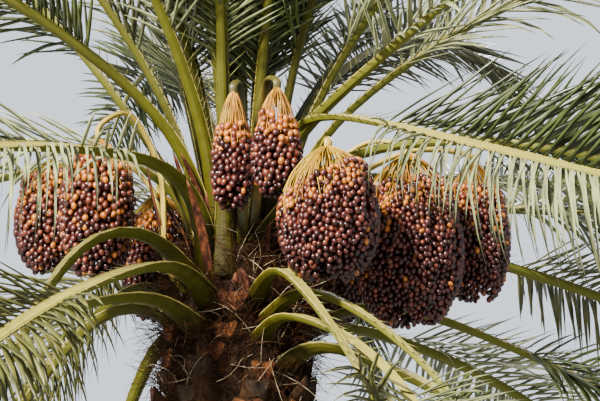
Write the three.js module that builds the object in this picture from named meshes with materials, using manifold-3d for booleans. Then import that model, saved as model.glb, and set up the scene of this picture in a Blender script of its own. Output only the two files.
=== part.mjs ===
// A bearing date palm: a trunk clad in old leaf bases, a crown of feather fronds and hanging bunches of dates.
// Millimetres, +Z up. The origin is the middle of the flat cut at ground level, and -Y is the front.
// Headings are degrees about the trunk from +X towards +Y, so -90 points at a viewer in front.
import * as THREE from "three";
import { mergeVertices } from "three/addons/utils/BufferGeometryUtils.js";
import Module from "manifold-3d";

const wasm = await Module();
wasm.setup();

// Driving dimensions
const gap = 0.4; // between solids that meet
const goldenAngle = 137.508; // degrees from one leaf to the next round the trunk
const trunk = {
  height: 3450, // growing tip
  headFrom: 2780, // lowest living frond
  rootRadius: 375,
  flareHeight: 210,
  bodyRadius: 252,
  headRadius: 292,
  swellFrom: 1700, // where the body starts to thicken towards the head
  tipRadius: 62,
  sweep: 60, // sideways set of the tip
  sides: 14,
};
const oldBases = {
  count: 64,
  from: 210,
  to: 2700,
  rootInset: 70,
  width: [118, 150], // lowest and highest
  thickness: [40, 56],
  reach: [58, 150],
  tilt: [34, 52], // degrees above level
  taper: 0.86, // cut end's share of the width
};
const petiole = {
  inset: 60, // start below the head's surface
  flareLength: 170, // over which the wide base narrows
  flareWidth: 70, // added at the very base
  flareThickness: 20,
  width: 74,
  thickness: 46,
  tipWidth: 12,
  tipThickness: 8,
  keelShare: 0.5, // underside's share of the width
};
const leaflet = {
  pairs: 12,
  length: 540,
  shortest: 0.45, // share of that length at both ends of the frond
  sweepFrom: 56, // degrees forward of square at the first pair is 90 less this
  sweepTo: 30,
  lifts: [34, -4, 14], // degrees above the blade, taken in turn
  shares: [1, 0.6], // of the length, the shorter where the longer has no room
  clearance: 3,
};
const bunchMass = {
  columns: 12,
  strandRows: 2,
  fruitRows: 6,
  flute: 9,
  date: 24, // how far a date stands out
  neckRadius: 30,
  shoulder: 0.78, // of the widest radius, where the dates begin
};
const stalk = { rootHeight: 3050, width: 52, thickness: 26, endWidth: 34, steps: 7, inset: 60, standOff: 62 };

// Fronds by age, youngest first. from is the height of their bases, and every second one stands a step higher.
// rise, carry and fall are degrees above level at the base, past the bend and at the tip. The blade turns about
// its rib by its twist, and bare is the share of the length below the first leaflets. A heading with values of its
// own differs from the rest of its tier, and its seat is the way its base faces on the head, if that is another.
const frondTiers = [
  {
    name: "young", from: 3436, rise: 88, carry: 85, fall: 68, bend: 560, length: 2500, slender: 0.62, step: 0,
    twist: 15, bare: 0.24, headings: [-60, 60, 180],
  },
  {
    name: "upright", from: 3395, rise: 86, carry: 78, fall: 44, bend: 560, length: 3300, slender: 0.78, step: 0,
    twist: 20, bare: 0.24, headings: [-66, -20, 24, 64, 102, 140, 206, 246],
  },
  {
    name: "rising", from: 3375, rise: 80, carry: 63, fall: 14, bend: 520, length: 3500, slender: 0.85, step: 0,
    twist: 30, bare: 0.26,
    headings: [
      { heading: -96, seat: -106, from: 3208, rise: 89, carry: 84, fall: 20, bend: 600 },
      0,
      { heading: 38, from: 3380, rise: 84, carry: 52, fall: 40, bend: 485 },
      92,
      { heading: 133, from: 3355, rise: 77, carry: 72, fall: 50, bend: 291 },
      184,
      228,
    ],
  },
  {
    name: "ascending", from: 3350, rise: 76, carry: 41, fall: -24, bend: 475, length: 3650, slender: 0.9, step: 0,
    twist: 45, bare: 0.28,
    headings: [
      { heading: -42, from: 3355, rise: 87, carry: 30, fall: 12, bend: 360 },
      8,
      62,
      106,
      { heading: 175, from: 3360, rise: 62, carry: 58, fall: 4, bend: 400 },
      212,
    ],
  },
  {
    name: "spreading", from: 3290, rise: 74, carry: 2, fall: -46, bend: 510, length: 3700, slender: 1, step: 0,
    twist: 60, bare: 0.31, splitAt: 0.3,
    headings: [
      { heading: -57, seat: -50, from: 3386, rise: 82, carry: -17, fall: -19, bend: 483, slender: 0.7 },
      { heading: -26, seat: -62, from: 3304, rise: 54, carry: 7, fall: -80, bend: 493, slender: 0.9 },
      { heading: 12, from: 3215, rise: 50, carry: 8, fall: -40, bend: 350 },
      { heading: 34, from: 3290, rise: 80, carry: 8, fall: -14, bend: 360 },
      78,
      112,
      154,
      { heading: 231, from: 3235, rise: 79, carry: 0, fall: -45, bend: 390, bare: 0.2 },
    ],
  },
  {
    name: "leaning", from: 3050, rise: 42, carry: -42, fall: -76, bend: 270, length: 3250, slender: 1, step: 0,
    twist: 45, bare: 0.38, splitAt: 0.37,
    headings: [
      { heading: -72, from: 3035, rise: 30, carry: -23, fall: -64, bend: 315, bare: 0.45, slender: 0.7 },
      { heading: 24, from: 3165, rise: 61, carry: -7, fall: -30, bend: 330 },
      76,
      104,
      154,
      { heading: 221, from: 3120, rise: 46, carry: -58, fall: -84, bend: 540 },
    ],
  },
  {
    name: "drooping", from: 2870, rise: 36, carry: -48, fall: -80, bend: 295, length: 3000, slender: 1, step: 80,
    twist: 35, bare: 0.38,
    headings: [
      { heading: -66, from: 2872, rise: 27, carry: -9, fall: -84, bend: 212, bare: 0.5, slender: 0.7 },
      { heading: -58, from: 2955, rise: 30, carry: -17, fall: -84, bend: 290, bare: 0.5, slender: 0.76 },
      { heading: -36, from: 2770, rise: 30, carry: -20, fall: -70, bend: 200 },
      { heading: 9, from: 2920, rise: 32, carry: -17, fall: -45, bend: 391 },
      { heading: 41, from: 2870, rise: 33, carry: -6, fall: -48, bend: 300, bare: 0.24 },
      88,
      128,
      174,
      { heading: 229, from: 2925, rise: 30, carry: -12, fall: -50, bend: 300 },
      { heading: 244, from: 3025, rise: 31, carry: -13, fall: -50, bend: 340 },
    ],
  },
];
const groupedTiers = ["young", "upright", "rising", "ascending"]; // fused, the count of files being limited
const groups = 3;
const heart = { from: 3440, to: 3475, inner: 105, outer: 236, steps: 3 }; // fibre that joins the bases of a group

// Fruit bunches: where each hangs, its stalk's foot on the head and the top of its arch, its own top, height and
// widest radius, the share of the height that is bare strands, and how fast these spread, less for a fuller dome.
const bunches = [
  { heading: -165, root: -163, reach: 656, arch: 3890, top: 3749, height: 591, radius: 165, bare: 0.12, spread: 0.5 },
  { heading: 171, root: 168, reach: 893, arch: 3790, top: 3720, height: 500, radius: 160, bare: 0.14, spread: 0.5 },
  {
    heading: -94, root: -88, foot: 3260, reach: 421, arch: 3975, top: 3923, height: 509, radius: 94, bare: 0.34,
    spread: 0.75,
  },
  {
    heading: -74, root: -76, foot: 3295, reach: 587, arch: 3965, top: 3902, height: 458, radius: 108, bare: 0.28,
    spread: 0.7,
  },
  { heading: -64, root: -45, reach: 857, arch: 3660, top: 3604, height: 541, radius: 211, bare: 0.16, spread: 0.5 },
  { heading: -24, root: -31, reach: 798, arch: 3725, top: 3664, height: 740, radius: 238, bare: 0.2, spread: 0.55 },
  { heading: -3, root: -5, reach: 1042, arch: 3737, top: 3672, height: 610, radius: 156, bare: 0.2, spread: 0.6 },
  { heading: 50, root: 48, reach: 640, arch: 3670, top: 3590, height: 560, radius: 178, bare: 0.22, spread: 0.55 },
  { heading: 131, root: 129, reach: 620, arch: 3710, top: 3630, height: 590, radius: 172, bare: 0.22, spread: 0.55 },
];

const barkBrown = new THREE.MeshStandardMaterial({ color: 0x5b4634, roughness: 0.95, metalness: 0 });
const frondGreen = new THREE.MeshStandardMaterial({ color: 0x7c8a4e, roughness: 0.6, metalness: 0 });
const stalkYellow = new THREE.MeshStandardMaterial({ color: 0xb9a24a, roughness: 0.55, metalness: 0 });
const dateBrown = new THREE.MeshStandardMaterial({ color: 0x5a2a1e, roughness: 0.35, metalness: 0 });

const radians = THREE.MathUtils.degToRad;
const mix = THREE.MathUtils.lerp;

// The same value between -1 and 1 each time for a seed.
function vary(seed) {
  const x = Math.sin(seed * 12.9898 + 4.1414) * 43758.5453;
  return 2 * (x - Math.floor(x)) - 1;
}

function trunkRadius(z) {
  if (z > trunk.headFrom) {
    const up = Math.min(1, (z - trunk.headFrom) / (trunk.height - trunk.headFrom));
    return trunk.tipRadius + (trunk.headRadius - trunk.tipRadius) * Math.sqrt(1 - up * up);
  }
  const swell = THREE.MathUtils.smoothstep(z, trunk.swellFrom, trunk.headFrom);
  const flare = (trunk.rootRadius - trunk.bodyRadius) * Math.exp(-z / trunk.flareHeight);
  return mix(trunk.bodyRadius, trunk.headRadius, swell) + flare;
}

function trunkMiddle(z) {
  return new THREE.Vector3(trunk.sweep * (z / trunk.height) ** 2, 0, z);
}

function headingWay(heading) {
  return new THREE.Vector3(Math.cos(radians(heading)), Math.sin(radians(heading)), 0);
}

// A manifold-3d solid from points and triangles.
function solidFrom(points, triangles) {
  const vertProperties = new Float32Array(points.flatMap((p) => [p.x, p.y, p.z]));
  const triVerts = new Uint32Array(triangles.flat());
  return new wasm.Manifold(new wasm.Mesh({ numProp: 3, vertProperties, triVerts }));
}

function solidOf(geometry) {
  geometry.deleteAttribute("normal");
  geometry.deleteAttribute("uv");
  const merged = mergeVertices(geometry, 1e-3);
  const triVerts = new Uint32Array(merged.index.array);
  return new wasm.Manifold(
    new wasm.Mesh({ numProp: 3, vertProperties: merged.attributes.position.array, triVerts }),
  );
}

function meshOf(name, solid, material) {
  const { vertProperties, triVerts } = solid.getMesh();
  const geometry = new THREE.BufferGeometry();
  geometry.setAttribute("position", new THREE.BufferAttribute(vertProperties, 3));
  geometry.setIndex(new THREE.BufferAttribute(triVerts, 1));
  geometry.computeVertexNormals();
  const mesh = new THREE.Mesh(geometry, material);
  mesh.name = name;
  return mesh;
}

// The solid's largest piece, so that a cut leaves no crumbs.
function largest(solid) {
  const pieces = solid.decompose();
  return pieces.reduce((a, b) => (b.volume() > a.volume() ? b : a));
}

// A closed skin over rings of points that run clockwise as seen along the sweep.
// tips[step][side] is a point that the side's face is drawn out to, and point closes the far end in a spike.
function skin(rings, { tips = [], point = null } = {}) {
  const sides = rings[0].length;
  const points = rings.flat();
  const triangles = [];
  for (let step = 0; step + 1 < rings.length; step++)
    for (let side = 0; side < sides; side++) {
      const next = (side + 1) % sides;
      const [a, b] = [step * sides + side, step * sides + next];
      const [c, d] = [b + sides, a + sides];
      const tip = tips[step]?.[side];
      if (tip) {
        const t = points.push(tip) - 1;
        triangles.push([a, b, t], [b, c, t], [c, d, t], [d, a, t]);
      } else triangles.push([a, b, c], [a, c, d]);
    }
  const last = (rings.length - 1) * sides;
  for (let side = 1; side + 1 < sides; side++) triangles.push([0, side + 1, side]);
  if (point) {
    const t = points.push(point) - 1;
    for (let side = 0; side < sides; side++) triangles.push([last + side, last + ((side + 1) % sides), t]);
  } else for (let side = 1; side + 1 < sides; side++) triangles.push([last, last + side, last + side + 1]);
  return solidFrom(points, triangles);
}

// A leaf stem's section: flat above, narrowing to a keel below.
function stemSection(middle, across, up, width, thickness) {
  const corner = (x, y) => middle.clone().addScaledVector(across, x).addScaledVector(up, y);
  const keel = (width * petiole.keelShare) / 2;
  return [
    corner(-width / 2, thickness / 2),
    corner(width / 2, thickness / 2),
    corner(keel, -thickness / 2),
    corner(-keel, -thickness / 2),
  ];
}

function trunkCore(extra = 0) {
  const heights = [0, 90, 220, 480, 1300, 2100, trunk.headFrom, 3000, 3170, 3300, 3390, 3435, trunk.height];
  const profile = heights.map((z) => new THREE.Vector2(trunkRadius(z) + extra, z));
  profile.unshift(new THREE.Vector2(0, 0));
  profile.push(new THREE.Vector2(0, trunk.height + extra));
  const lathe = new THREE.LatheGeometry(profile, trunk.sides);
  lathe.rotateX(Math.PI / 2);
  const at = lathe.attributes.position;
  for (let i = 0; i < at.count; i++) at.setX(i, at.getX(i) + trunkMiddle(at.getZ(i)).x);
  return solidOf(lathe);
}

// One old leaf base, sawn off upright, wide and flat above with a keel below.
function oldBase(index) {
  const age = index / (oldBases.count - 1);
  const z = mix(oldBases.from, oldBases.to, age);
  const size = (range, seed) => mix(...range, age) * (1 + 0.12 * vary(index * 3 + seed));
  const out = headingWay(index * goldenAngle + 4 * vary(index));
  const across = new THREE.Vector3(out.y, -out.x, 0);
  const tilt = radians(size(oldBases.tilt, 1));
  const along = out.clone().multiplyScalar(Math.cos(tilt)).setZ(Math.sin(tilt));
  const up = across.clone().cross(along);
  const [width, thickness] = [size(oldBases.width, 2), mix(...oldBases.thickness, age)];
  const surface = trunkMiddle(z).addScaledVector(out, trunkRadius(z));
  const root = surface.clone().addScaledVector(along, -oldBases.rootInset);
  const end = surface.clone().addScaledVector(along, size(oldBases.reach, 4));
  const sawn = new THREE.Vector3(0, 0, 1);
  return skin([
    stemSection(root, across, up, width, thickness),
    stemSection(end, across, sawn, width * oldBases.taper, thickness / Math.cos(tilt)),
  ]);
}

function buildTrunk(core) {
  let solid = core;
  for (let index = 0; index < oldBases.count; index++) solid = solid.add(oldBase(index));
  return largest(solid);
}

const twistFrom = 0.12; // of the length, where the blade starts to turn
const twistTo = 0.6;

// The points, directions and section sizes along a frond's rib, from its base to its tip.
function rib(tier, entry, index) {
  const ordinary = typeof entry === "number";
  const own = ordinary ? { ...tier, heading: entry } : { ...tier, step: 0, ...entry };
  const wander = ordinary ? 1 : 0;
  const seed = index * 7 + tier.from;
  const length = own.length * (1 + 0.05 * vary(seed));
  const carry = own.carry + 4 * wander * vary(seed + 1);
  const fall = own.fall + 7 * wander * vary(seed + 2);
  const out = headingWay(own.heading);
  const z = own.from + own.step * (index % 2) + 12 * wander * vary(seed + 3);
  const twist = radians(tier.twist) * (vary(seed + 4) > 0 ? 1 : -1);
  const across = new THREE.Vector3(out.y, -out.x, 0);
  const slopeAt = (s) => {
    const bent = (own.rise - carry) * Math.exp(-((s / own.bend) ** 2));
    return radians(bent + carry + (fall - carry) * (s / length) ** 1.6);
  };
  const alongAt = (s) => out.clone().multiplyScalar(Math.cos(slopeAt(s))).setZ(Math.sin(slopeAt(s)));
  const seat = headingWay(own.seat ?? own.heading);
  const start = trunkMiddle(z).addScaledVector(seat, trunkRadius(z)).addScaledVector(alongAt(0), -petiole.inset);
  const pace = 10;
  const path = [start];
  for (let s = 0; s < length + petiole.inset; s += pace)
    path.push(path.at(-1).clone().addScaledVector(alongAt(Math.max(0, s + pace / 2 - petiole.inset)), pace));
  // A station at s from the surface of the head.
  const station = (s) => {
    const place = Math.min(path.length - 1.001, (s + petiole.inset) / pace);
    const middle = path[Math.floor(place)].clone().lerp(path[Math.floor(place) + 1], place % 1);
    const along = alongAt(Math.max(0, s));
    const share = THREE.MathUtils.clamp(s / length, 0, 1);
    const flare = Math.exp(-Math.max(0, s) / petiole.flareLength);
    const thin = (1 - share) ** 0.85;
    const turned = twist * THREE.MathUtils.smoothstep(share, twistFrom, twistTo);
    const side = across.clone().applyAxisAngle(along, turned);
    return {
      middle, along, across: side, up: side.clone().cross(along),
      width: own.slender * (mix(petiole.tipWidth, petiole.width, thin) + petiole.flareWidth * flare),
      thickness: own.slender * (mix(petiole.tipThickness, petiole.thickness, thin) + petiole.flareThickness * flare),
    };
  };
  return { tier, heading: own.heading, bare: own.bare, length, station, seed };
}

function ringAt(frond, s, extra = 0) {
  const { middle, across, up, width, thickness } = frond.station(s);
  return stemSection(middle, across, up, width + 2 * extra, thickness + 2 * extra);
}

const leafyShare = 0.965; // where the last pair ends

// Where the rings of a frond's rib are: closer on the bare stem's bend, then one for each pair of leaflets.
function ribStops(frond) {
  const bare = frond.length * frond.bare;
  const stem = [0.04, 0.12, 0.25, 0.44, 0.7].map((share) => share * bare);
  const pairs = Array.from({ length: leaflet.pairs + 1 }, (_, k) =>
    mix(bare, frond.length * leafyShare, (k / leaflet.pairs) ** 0.94),
  );
  return [-petiole.inset, ...stem, ...pairs];
}

// The tip of the leaflet that grows between two stops, on the left (3) or right (1) side of the rib.
function leafletTip(frond, to, side, pair, lift, share) {
  const along = pair / (leaflet.pairs - 1);
  const { middle, along: forward, across, up } = frond.station(to);
  const swell = mix(leaflet.shortest, 1, Math.sin(Math.PI * (0.08 + 0.8 * along)) ** 0.7);
  const length = leaflet.length * share * swell * (1 + 0.08 * vary(frond.seed + pair * 5 + side));
  const sweep = radians(mix(leaflet.sweepFrom, leaflet.sweepTo, along));
  const outward = side === 1 ? 1 : -1;
  return middle.clone()
    .addScaledVector(forward, length * Math.cos(sweep))
    .addScaledVector(across, outward * length * Math.sin(sweep) * Math.cos(radians(lift)))
    .addScaledVector(up, length * Math.sin(sweep) * Math.sin(radians(lift)));
}

// The leaflet alone, a little enlarged, to test what it would touch.
function leafletProbe(frond, from, to, side, tip) {
  const [a, b] = [ringAt(frond, from, leaflet.clearance), ringAt(frond, to, leaflet.clearance)];
  const next = (side + 1) % 4;
  const root = [a[side], a[next], b[next], b[side]];
  const centre = root.reduce((sum, p) => sum.add(p), new THREE.Vector3()).divideScalar(4);
  const beyond = tip.clone().sub(centre);
  const far = centre.clone().addScaledVector(beyond, 1 + (3 * leaflet.clearance) / beyond.length());
  return skin([root], { point: far });
}

function boxOf(solid) {
  const { min, max } = solid.boundingBox();
  return new THREE.Box3(new THREE.Vector3(...min), new THREE.Vector3(...max));
}

function touches(probe, others) {
  return others.some((other) => probe.box.intersectsBox(other.box) && !probe.solid.intersect(other.solid).isEmpty());
}

// The leaflets of a frond that fit between the obstacles: their tips for skin, and their probes.
function chooseLeaflets(frond, obstacles) {
  const firstPair = frond.stops.length - 1 - leaflet.pairs;
  const tips = frond.stops.map(() => []);
  const probes = [];
  const choices = leaflet.shares.flatMap((share) => leaflet.lifts.map((_, turn) => ({ share, turn })));
  for (let pair = 0; pair < leaflet.pairs; pair++)
    for (const side of [1, 3]) {
      const [from, to] = frond.stops.slice(firstPair + pair);
      for (const { share, turn } of choices) {
        const lift = leaflet.lifts[(pair + side + turn) % leaflet.lifts.length];
        const tip = leafletTip(frond, to, side, pair, lift, share);
        const solid = leafletProbe(frond, from, to, side, tip);
        const probe = { solid, box: boxOf(solid) };
        if (touches(probe, obstacles)) continue;
        tips[firstPair + pair][side] = tip;
        probes.push(probe);
        break;
      }
    }
  return { tips, probes };
}

// A frond between two of its stops, with the leaflets there. It ends in a point where it runs to the tip.
function growFrond(frond, { from = 0, to = frond.stops.length - 1, extra = 0, tips = [] }) {
  const stops = frond.stops.slice(from, to + 1);
  if (from > 0) stops[0] += gap;
  const whole = to === frond.stops.length - 1;
  return skin(stops.map((s) => ringAt(frond, s, extra)), {
    tips: tips.slice(from, to),
    point: whole ? frond.station(frond.length).middle : null,
  });
}

// The stalk leaves the head below the younger fronds, rises outside them, arches over and ends pointing straight down.
function stalkCurve(bunch) {
  const foot = bunch.foot ?? stalk.rootHeight;
  const surface = trunkRadius(foot);
  const near = surface + stalk.standOff;
  const lift = bunch.arch - bunch.top;
  const at = (r, height, turned) =>
    trunkMiddle(trunk.height).addScaledVector(headingWay(mix(bunch.root, bunch.heading, turned)), r).setZ(height);
  return new THREE.CatmullRomCurve3([
    at(surface - stalk.inset, foot, 0),
    at(near, foot + 150, 0),
    at(mix(near, bunch.reach, 0.16), mix(foot + 150, bunch.arch, 0.66), 0.12),
    at(mix(near, bunch.reach, 0.62), bunch.arch, 0.6),
    at(bunch.reach, bunch.top + 0.5 * lift, 1),
    at(bunch.reach, bunch.top + gap, 1),
  ]);
}

function buildStalk(bunch, extra = 0) {
  const curve = stalkCurve(bunch);
  const out = headingWay(bunch.heading);
  const across = new THREE.Vector3(out.y, -out.x, 0);
  const rings = [];
  for (let step = 0; step <= stalk.steps; step++) {
    const share = step / stalk.steps;
    const along = step === stalk.steps ? new THREE.Vector3(0, 0, -1) : curve.getTangentAt(share);
    const up = across.clone().cross(along);
    const width = mix(stalk.width, stalk.endWidth, share) + 2 * extra;
    const thickness = stalk.thickness + 2 * extra;
    const middle = curve.getPointAt(share);
    const ring = [];
    for (let side = 0; side < 6; side++) {
      const turn = -radians(60 * side);
      ring.push(
        middle.clone()
          .addScaledVector(across, (Math.cos(turn) * width) / 2)
          .addScaledVector(up, (Math.sin(turn) * thickness) / 2),
      );
    }
    rings.push(ring);
  }
  return skin(rings);
}

// A hanging mop: fluted strands at the top, widening into a crowd of dates that stand out of the mass.
function buildMass(bunch) {
  const { columns, strandRows, fruitRows } = bunchMass;
  const rows = strandRows + fruitRows;
  const profile = [];
  for (let row = 0; row <= rows; row++) {
    const strands = Math.min(1, row / strandRows);
    const fruit = Math.max(0, (row - strandRows) / fruitRows);
    const down = bunch.bare * strands + (1 - bunch.bare) * fruit;
    const spread = mix(bunchMass.neckRadius, bunch.radius * bunchMass.shoulder, strands ** bunch.spread);
    const body = bunch.radius * mix(bunchMass.shoulder, 1, Math.sin((Math.PI / 2) * Math.min(1, fruit * 2.2)));
    const round = Math.sqrt(Math.max(0, 1 - Math.max(0, (fruit - 0.45) / 0.6) ** 2.4));
    const radius = row <= strandRows ? spread : body * round;
    profile.push(new THREE.Vector2(radius, -bunch.height * down));
  }
  profile.reverse();
  profile.unshift(new THREE.Vector2(0, -bunch.height));
  profile.push(new THREE.Vector2(0, 0));
  const lathe = new THREE.LatheGeometry(profile, columns);
  lathe.rotateX(Math.PI / 2);
  const at = lathe.attributes.position;
  for (let column = 0; column <= columns; column++)
    for (let level = 1; level < rows + 1; level++) {
      const i = column * profile.length + level;
      const row = rows + 1 - level;
      const inFruit = row > strandRows;
      const outward = (inFruit ? row + column : column) % 2 ? 1 : -1;
      const radius = Math.hypot(at.getX(i), at.getY(i));
      const moved = radius + (outward * (inFruit ? bunchMass.date : bunchMass.flute)) / 2;
      at.setXY(i, (at.getX(i) * moved) / radius, (at.getY(i) * moved) / radius);
    }
  const hang = trunkMiddle(trunk.height).addScaledVector(headingWay(bunch.heading), bunch.reach);
  lathe.translate(hang.x, hang.y, bunch.top);
  return solidOf(lathe);
}

// The part of the fibre round the growing tip that one group of fronds stands in.
function buildHeart(group) {
  const rings = [];
  for (let step = 0; step <= heart.steps; step++) {
    const out = headingWay(((group + step / heart.steps) * 360) / groups - 90);
    const at = (r, z) => trunkMiddle(trunk.height).addScaledVector(out, r).setZ(z);
    rings.push([
      at(heart.inner, heart.to), at(heart.outer, heart.to), at(heart.outer, heart.from), at(heart.inner, heart.from),
    ]);
  }
  return skin(rings);
}

// Which group a frond of the upper tiers is fused into, counted from the front, or null for one on its own.
function groupOf(frond) {
  if (!groupedTiers.includes(frond.tier.name)) return null;
  const fromFront = (frond.heading + 450) % 360;
  return Math.floor((fromFront / 360) * groups);
}

const subtractAll = (solid, cutters) => cutters.reduce((rest, cutter) => rest.subtract(cutter), solid);

const palm = new THREE.Group();
const core = trunkCore();
const coreCutter = trunkCore(gap);
const stalkCutters = bunches.map((bunch) => buildStalk(bunch, gap));
const obstacles = [];

function place(name, solid, material) {
  palm.add(meshOf(name, solid, material));
  obstacles.push({ solid, box: boxOf(solid) });
}

place("trunk", buildTrunk(core), barkBrown);
bunches.forEach((bunch, index) => {
  place(`bunch_stalk_${index + 1}`, largest(buildStalk(bunch).subtract(coreCutter)), stalkYellow);
  place(`date_bunch_${index + 1}`, buildMass(bunch), dateBrown);
});

// Ribs first, the lowest and outermost before those above them, each enlarged by the gap.
const fronds = frondTiers.flatMap((tier) => tier.headings.map((entry, index) => rib(tier, entry, index)));
fronds.reverse();
for (const frond of fronds) {
  frond.stops = ribStops(frond);
  frond.solid = growFrond(frond, { extra: gap });
  frond.box = boxOf(frond.solid);
}

// Then the leaflets that have room between all the other ribs and the leaflets chosen so far.
const chosen = [];
for (const frond of fronds) {
  const others = fronds.filter((other) => other !== frond);
  const { tips, probes } = chooseLeaflets(frond, [...obstacles, ...others, ...chosen]);
  frond.tips = tips;
  chosen.push(...probes);
}

// Each frond is cut clear of the head, the stalks and the older bases beside its own.
const groupSolids = Array.from({ length: groups }, () => []);
const numbers = {};
fronds.forEach((frond, order) => {
  const group = groupOf(frond);
  const older = fronds.slice(0, order).filter((other) => group === null || groupOf(other) !== group);
  const cutters = [coreCutter, ...stalkCutters, ...older.map(({ solid }) => solid)];
  const grow = (stretch) => largest(subtractAll(growFrond(frond, { tips: frond.tips, ...stretch }), cutters));
  if (group !== null) {
    groupSolids[group].push(grow({}));
    return;
  }
  const { name, splitAt } = frond.tier;
  numbers[name] = (numbers[name] ?? 0) + 1;
  if (!splitAt) {
    palm.add(meshOf(`${name}_frond_${numbers[name]}`, grow({}), frondGreen));
    return;
  }
  const split = frond.stops.findIndex((s) => s >= splitAt * frond.length);
  palm.add(meshOf(`${name}_frond_${numbers[name]}_inner`, grow({ to: split }), frondGreen));
  palm.add(meshOf(`${name}_frond_${numbers[name]}_outer`, grow({ from: split }), frondGreen));
});
groupSolids.forEach((solids, index) => {
  const others = fronds.filter((frond) => groupOf(frond) !== index).map(({ solid }) => solid);
  const fibre = largest(subtractAll(buildHeart(index), [coreCutter, ...others]));
  const fused = solids.reduce((whole, solid) => whole.add(solid), fibre);
  palm.add(meshOf(`upright_fronds_${index + 1}`, largest(fused), frondGreen));
});

export default palm;
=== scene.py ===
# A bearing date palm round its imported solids: bark, leaf stems, leaflets, fruit stalks and dates.
import math
import random

import bmesh
import bpy
import numpy as np
from mathutils import Matrix, Vector, noise
from mathutils.bvhtree import BVHTree


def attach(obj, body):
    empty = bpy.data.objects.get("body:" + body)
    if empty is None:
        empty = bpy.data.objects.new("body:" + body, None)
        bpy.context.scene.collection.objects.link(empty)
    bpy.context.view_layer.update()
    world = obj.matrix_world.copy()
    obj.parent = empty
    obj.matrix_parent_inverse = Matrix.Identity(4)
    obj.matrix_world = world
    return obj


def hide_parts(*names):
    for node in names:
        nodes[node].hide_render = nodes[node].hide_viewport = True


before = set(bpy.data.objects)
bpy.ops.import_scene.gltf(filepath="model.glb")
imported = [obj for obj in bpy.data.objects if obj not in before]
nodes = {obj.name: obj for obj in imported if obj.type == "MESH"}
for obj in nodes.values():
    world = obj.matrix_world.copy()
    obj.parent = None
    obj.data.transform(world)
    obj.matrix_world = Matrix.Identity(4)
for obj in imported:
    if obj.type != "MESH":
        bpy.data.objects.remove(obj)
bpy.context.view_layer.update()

mm = 0.001
goldenAngle = 137.508

print("camera")
cameraView = {
    "aim": (0.32, 0.0, 3.52),
    "distance": 9.0,
    "elevation": -10,
    "lens": 120,
    "sensor": 36,
    "clipEnd": 500,
}


def addObject(name, data):
    thing = bpy.data.objects.new(name, data)
    bpy.context.collection.objects.link(thing)
    return thing


def setCamera(view):
    data = bpy.data.cameras.new("camera")
    data.lens = view["lens"]
    data.sensor_width = view["sensor"]
    data.clip_end = view["clipEnd"]
    camera = addObject("camera", data)
    tilt = math.radians(view["elevation"])
    away = Vector((0, -math.cos(tilt), math.sin(tilt)))
    camera.location = Vector(view["aim"]) + away * view["distance"]
    camera.rotation_euler = (-away).to_track_quat("-Z", "Y").to_euler()
    bpy.context.scene.camera = camera


setCamera(cameraView)


# The same value between -1 and 1 each time for a seed, as in the part's own source
def vary(seed):
    x = math.sin(seed * 12.9898 + 4.1414) * 43758.5453
    return 2 * (x - math.floor(x)) - 1


def mix(a, b, share):
    return a + (b - a) * share


def smooth(x, low, high):
    t = min(1, max(0, (x - low) / (high - low)))
    return t * t * (3 - 2 * t)


def headingWay(heading):
    return Vector((math.cos(math.radians(heading)), math.sin(math.radians(heading)), 0))


def levelSide(out):
    return Vector((out.y, -out.x, 0))


# The way that climbs from level by so many radians
def climbingWay(out, slope):
    return out * math.cos(slope) + Vector((0, 0, math.sin(slope)))


# One place along a swept shape: its middle, the ways of its width and thickness, and both of these in metres
def stationAt(middle, across, up, width, thickness):
    return {"middle": middle, "across": across, "up": up, "width": width, "thickness": thickness}


# The trunk's rule, in millimetres
trunk = {
    "height": 3450,
    "headFrom": 2780,
    "rootRadius": 375,
    "flareHeight": 210,
    "bodyRadius": 252,
    "headRadius": 292,
    "swellFrom": 1700,
    "tipRadius": 62,
    "sweep": 60,
}


def trunkRadius(z):
    if z > trunk["headFrom"]:
        up = min(1, (z - trunk["headFrom"]) / (trunk["height"] - trunk["headFrom"]))
        return trunk["tipRadius"] + (trunk["headRadius"] - trunk["tipRadius"]) * math.sqrt(1 - up * up)
    swell = smooth(z, trunk["swellFrom"], trunk["headFrom"])
    flare = (trunk["rootRadius"] - trunk["bodyRadius"]) * math.exp(-z / trunk["flareHeight"])
    return mix(trunk["bodyRadius"], trunk["headRadius"], swell) + flare


def trunkMiddle(z):
    return Vector((trunk["sweep"] * (z / trunk["height"]) ** 2, 0, z))


# The leaf stems' rule, in millimetres and degrees
petiole = {
    "inset": 60,
    "flareLength": 170,
    "flareWidth": 70,
    "flareThickness": 20,
    "width": 74,
    "thickness": 46,
    "tipWidth": 12,
    "tipThickness": 8,
    "taper": 0.85,
    "sag": 1.6,  # how late along its length a frond falls
    "twistFrom": 0.12,
    "twistTo": 0.6,
    "pace": 10,  # between the points of its path
}
wander = {"length": 0.05, "carry": 4, "fall": 7, "base": 12}  # how far a frond varies from its tier


# A frond read from the photograph. Where only a heading is given, its tier's values shape it
def ownFrond(heading, base, rise, carry, fall, bend, **other):
    own = {"heading": heading, "base": base, "rise": rise, "carry": carry, "fall": fall, "bend": bend}
    return {**own, **other}


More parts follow.
